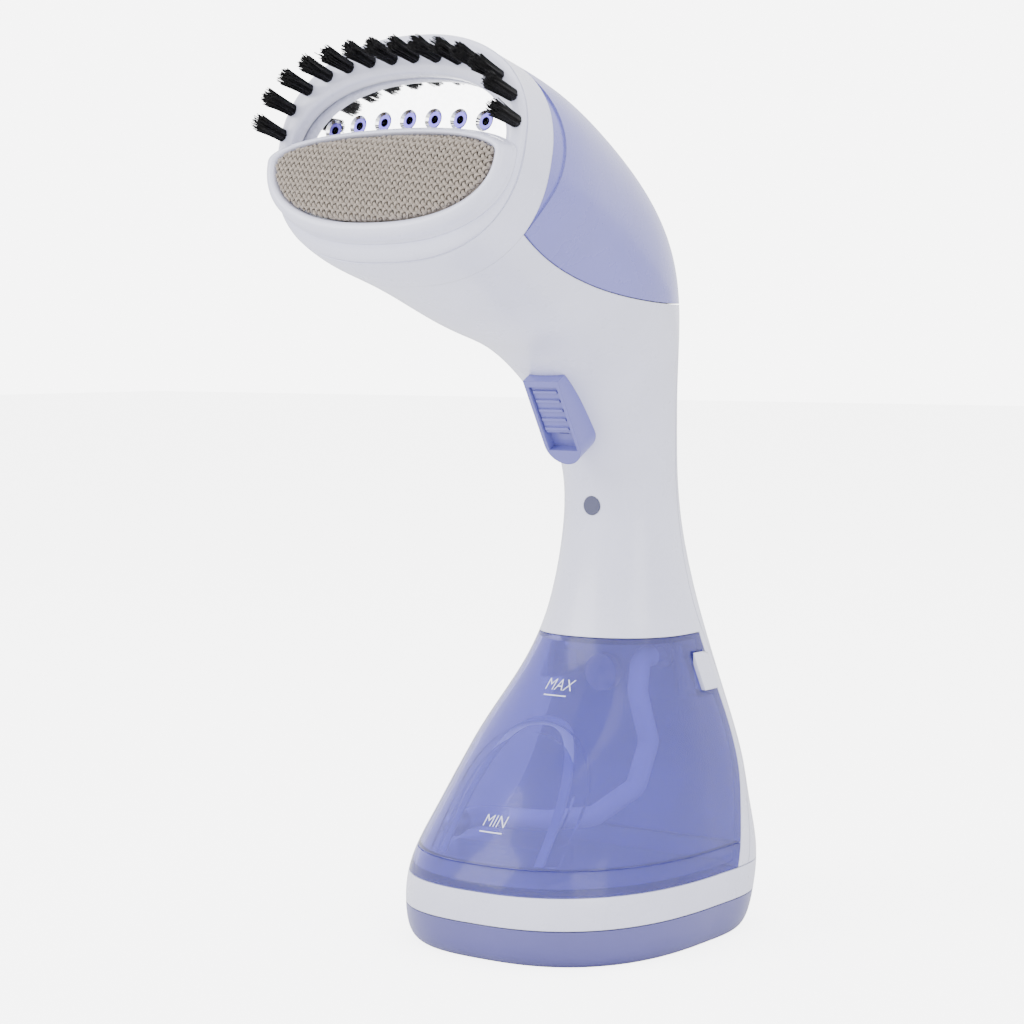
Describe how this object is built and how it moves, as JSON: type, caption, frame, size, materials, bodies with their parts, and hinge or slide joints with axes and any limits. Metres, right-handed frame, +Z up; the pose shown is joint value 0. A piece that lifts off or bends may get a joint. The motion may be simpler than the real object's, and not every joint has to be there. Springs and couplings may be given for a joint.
{
  "type": "handheld steamer",
  "caption": "Handheld garment steamer with a forward-leaning steam head, brush and lint pad nozzle, sliding switch and a clear pull-out water tank.",
  "frame": {"origin": "middle of the base's flat underside", "axes": "+Z up, -Y is the direction the steam head faces, X is across"},
  "size_m": [0.1011, 0.1668, 0.2888],
  "materials": {
    "white_casing": "glossy moulded ABS",
    "lavender_casing": "glossy lavender ABS",
    "pale_lavender_cap": "glossy pale lavender ABS",
    "lavender_switch": "satin lavender ABS",
    "polished_chrome": "mirror polished",
    "port_blue": "heat-tinted jets",
    "silicone_grey": "matt silicone",
    "cast_aluminium": "as cast",
    "brass_fitting": "turned",
    "heater_steel": "brushed",
    "mica_board": "matt board",
    "black_bristle": "nylon bristles",
    "foam_grey": "foam board",
    "lint_fabric": "coarse basket weave",
    "dark_plastic": "moulded nylon",
    "lens_grey": "tinted light pipe",
    "lamp_glass": "neon lamp",
    "copper_winding": "enamelled wire",
    "clear_lavender": "clear tinted polycarbonate",
    "hose_milky": "translucent silicone",
    "grey_rubber": "matt rubber"
  },
  "bodies": {
    "casing": {"base_plate": "lavender_casing", "base_ring": "white_casing", "base_screws": "heater_steel", "boiler_block": "cast_aluminium", "boiler_inlet": "brass_fitting", "case_screws": "heater_steel", "cord_gland": "grey_rubber", "delivery_hose": "hose_milky", "dock_socket": "dark_plastic", "front_shell": "white_casing", "head_cap": "pale_lavender_cap", "head_collar": "white_casing", "heat_shield": "mica_board", "heating_element": "heater_steel", "pilot_lamp": "lamp_glass", "pilot_lens": "lens_grey", "plate_gasket": "silicone_grey", "port_inserts": "port_blue", "pump_coil": "copper_winding", "pump_sleeve": "dark_plastic", "pump_spring": "heater_steel", "pump_yoke": "heater_steel", "rear_shell": "white_casing", "rubber_feet": "grey_rubber", "steam_plate": "polished_chrome", "suction_hose": "hose_milky", "switch_body": "dark_plastic", "switch_housing": "lavender_switch", "tab_springs": "silicone_grey", "terminal_block": "dark_plastic", "thermal_fuse": "heater_steel", "thermostat": "heater_steel", "wiring_loom": "grey_rubber"},
    "tank": {"tank_shell": "clear_lavender", "tank_tray": "clear_lavender", "tank_seal": "clear_lavender", "filler_plug": "silicone_grey", "outlet_spout": "silicone_grey", "pickup_hose": "hose_milky", "filter_weight": "heater_steel"},
    "nozzle": {"nozzle_ring": "white_casing", "bristle_tufts": "black_bristle", "pad_frame": "white_casing", "pad_backing": "foam_grey", "lint_pad": "lint_fabric"},
    "knob": {"switch_knob": "lavender_switch"},
    "tab_right": {"release_tab_right": "white_casing"},
    "tab_left": {"release_tab_left": "white_casing"},
    "plunger": {"pump_plunger": "heater_steel"}
  },
  "joints": [
    {"name": "tank_slide", "type": "slide", "parent": "casing", "child": "tank", "axis": [0, -1, 0], "range_m": [0, 0.12]},
    {"name": "nozzle_pull", "type": "slide", "parent": "casing", "child": "nozzle", "axis": [0, -0.9781, 0.2079], "range_m": [0, 0.03]},
    {"name": "switch_slide", "type": "slide", "parent": "casing", "child": "knob", "axis": [0, 0.5015, -0.8651], "range_m": [0, 0.0055]},
    {"name": "tab_right_press", "type": "slide", "parent": "casing", "child": "tab_right", "axis": [-1, 0, 0], "range_m": [0, 0.002], "stiffness_N_per_m": 800, "springref_m": -0.001},
    {"name": "tab_left_press", "type": "slide", "parent": "casing", "child": "tab_left", "axis": [1, 0, 0], "range_m": [0, 0.002], "stiffness_N_per_m": 800, "springref_m": -0.001},
    {"name": "pump_stroke", "type": "slide", "parent": "casing", "child": "plunger", "axis": [0, 0, 1], "range_m": [0, 0.002], "stiffness_N_per_m": 400, "springref_m": -0.002, "deforming": ["pump_spring"]}
  ]
}
